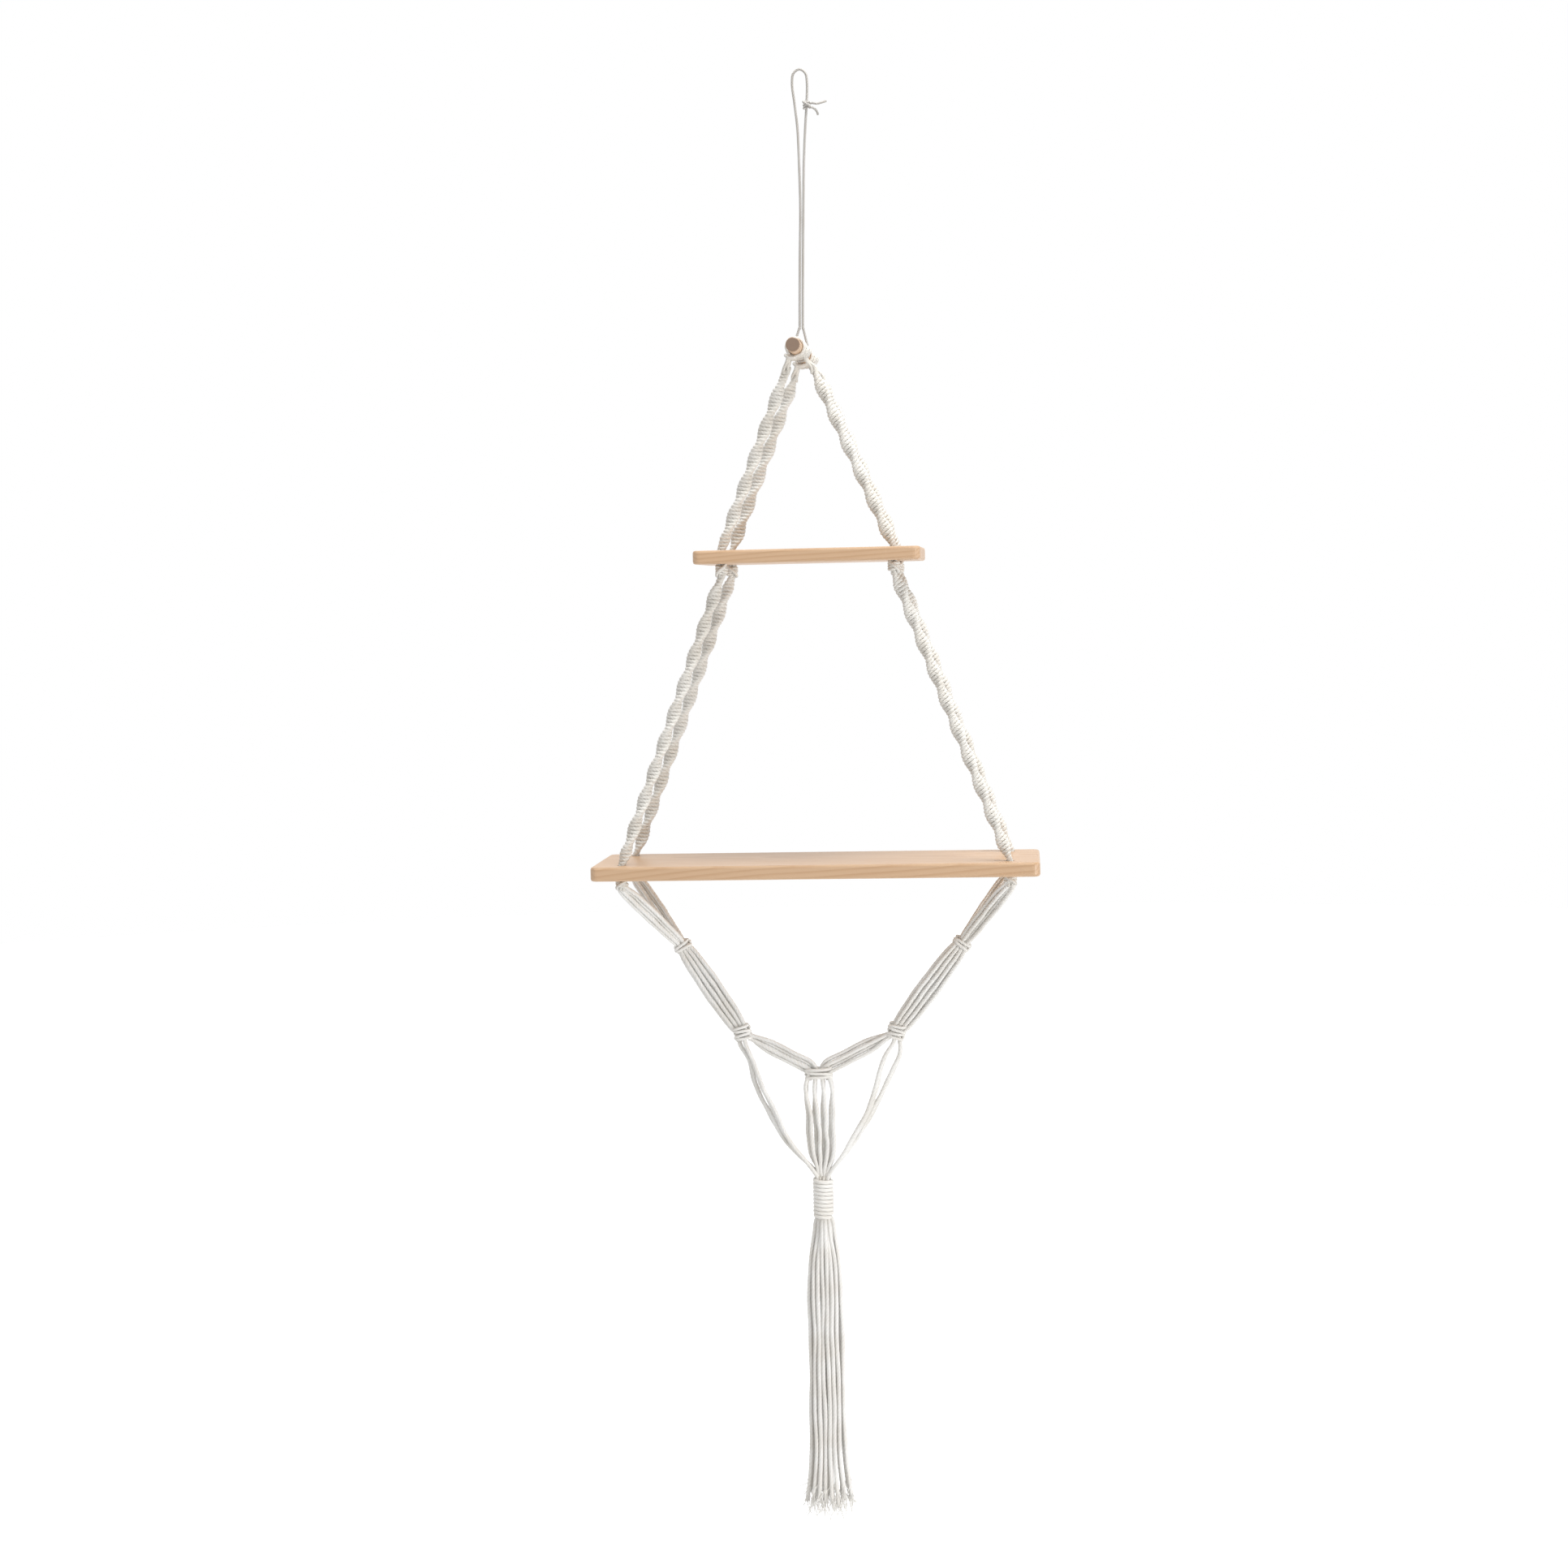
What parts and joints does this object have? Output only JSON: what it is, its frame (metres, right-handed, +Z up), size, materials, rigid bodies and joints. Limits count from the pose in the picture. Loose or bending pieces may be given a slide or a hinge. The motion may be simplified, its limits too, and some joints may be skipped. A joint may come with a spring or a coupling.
{
  "type": "hanging rope shelf",
  "caption": "Small and long pine boards hung one above the other on knotted cords from a short dowel and a string, with a net of cords and a tassel below.",
  "frame": {"origin": "where the nail or hook bears: the underside of the string at the top of its eye, on the line it hangs on", "axes": "+Z up along the string, +X to the right along the boards seen from the front, +Y from front to back"},
  "size_m": [0.5, 0.2, 1.6304],
  "materials": {
    "cord": "unbleached cotton cord",
    "string": "thin cotton string",
    "pine": "sanded pine, thin clear coat",
    "dowel_wood": "turned hardwood, bare"
  },
  "bodies": {
    "hanging_string": {"hanging_cord": "string", "hanging_cord_knot": "string"},
    "string_bight": {"dowel_sling": "string"},
    "dowel": {"dowel": "dowel_wood", "front_left_hitch_1": "cord", "front_left_hitch_2": "cord", "front_right_hitch_1": "cord", "front_right_hitch_2": "cord", "back_left_hitch_1": "cord", "back_left_hitch_2": "cord", "back_right_hitch_1": "cord", "back_right_hitch_2": "cord"},
    "front_upper_ropes": {"front_left_upper_rope": "cord", "front_right_upper_rope": "cord"},
    "back_upper_ropes": {"back_left_upper_rope": "cord", "back_right_upper_rope": "cord"},
    "upper_board": {"upper_board": "pine", "front_left_upper_knot": "cord", "front_right_upper_knot": "cord", "back_left_upper_knot": "cord", "back_right_upper_knot": "cord"},
    "front_lower_ropes": {"front_left_lower_rope": "cord", "front_right_lower_rope": "cord"},
    "back_lower_ropes": {"back_left_lower_rope": "cord", "back_right_lower_rope": "cord"},
    "lower_board": {"lower_board": "pine", "front_left_lower_knot": "cord", "front_right_lower_knot": "cord", "back_left_lower_knot": "cord", "back_right_lower_knot": "cord", "front_left_fan": "cord", "front_right_fan": "cord", "back_left_fan": "cord", "back_right_fan": "cord", "left_gather_knot": "cord", "right_gather_knot": "cord"},
    "lower_net": {"left_band": "cord", "right_band": "cord", "left_fork_knot": "cord", "right_fork_knot": "cord", "left_inner_band": "cord", "right_inner_band": "cord", "left_side_strands": "cord", "right_side_strands": "cord", "centre_knot": "cord", "centre_strands": "cord", "neck_core": "cord", "neck_wrap": "cord"},
    "tassel": {"tassel_root": "cord", "tassel_pair_1": "cord", "tassel_pair_2": "cord", "tassel_pair_3": "cord", "tassel_pair_4": "cord", "tassel_pair_5": "cord", "tassel_pair_6": "cord", "tassel_pair_7": "cord", "tassel_pair_8": "cord"}
  },
  "joints": [
    {"name": "string_twist", "type": "hinge", "parent": "hanging_string", "child": "string_bight", "pos_m": [-0.0036, 0, -0.2843], "axis": [0, 0, 1], "range_deg": [-90, 90]},
    {"name": "dowel_rock", "type": "hinge", "parent": "string_bight", "child": "dowel", "pos_m": [-0.0022, 0, -0.31], "axis": [0, 1, 0], "range_deg": [-10, 10]},
    {"name": "front_upper_swing", "type": "hinge", "parent": "dowel", "child": "front_upper_ropes", "pos_m": [-0.001, -0.053, -0.336], "axis": [1, 0, 0], "range_deg": [-8, 8]},
    {"name": "upper_board_level", "type": "hinge", "parent": "front_upper_ropes", "child": "upper_board", "pos_m": [0.002, -0.053, -0.5242], "axis": [1, 0, 0], "range_deg": [-8, 8]},
    {"name": "back_upper_swing", "type": "hinge", "parent": "dowel", "child": "back_upper_ropes", "pos_m": [-0.001, 0.053, -0.336], "axis": [1, 0, 0], "range_deg": [-8, 8]},
    {"name": "back_lower_swing", "type": "hinge", "parent": "upper_board", "child": "back_lower_ropes", "pos_m": [0.002, 0.053, -0.5611], "axis": [1, 0, 0], "range_deg": [-8, 8]},
    {"name": "lower_board_level", "type": "hinge", "parent": "back_lower_ropes", "child": "lower_board", "pos_m": [0.003, 0.053, -0.8732], "axis": [1, 0, 0], "range_deg": [-8, 8]},
    {"name": "front_lower_swing", "type": "hinge", "parent": "upper_board", "child": "front_lower_ropes", "pos_m": [0.002, -0.053, -0.5611], "axis": [1, 0, 0], "range_deg": [-8, 8]},
    {"name": "net_swing", "type": "hinge", "parent": "lower_board", "child": "lower_net", "pos_m": [0.003, 0, -0.977], "axis": [1, 0, 0], "range_deg": [-30, 30]},
    {"name": "tassel_sway", "type": "hinge", "parent": "lower_net", "child": "tassel", "pos_m": [0.001, 0, -1.3038], "axis": [0, 1, 0], "range_deg": [-25, 25]}
  ],
  "couplings": [
    {"joint": "front_upper_swing", "follows": "upper_board_level", "ratio": -1},
    {"joint": "back_upper_swing", "follows": "upper_board_level", "ratio": -1},
    {"joint": "front_lower_swing", "follows": "lower_board_level", "ratio": -1},
    {"joint": "back_lower_swing", "follows": "lower_board_level", "ratio": -1}
  ]
}
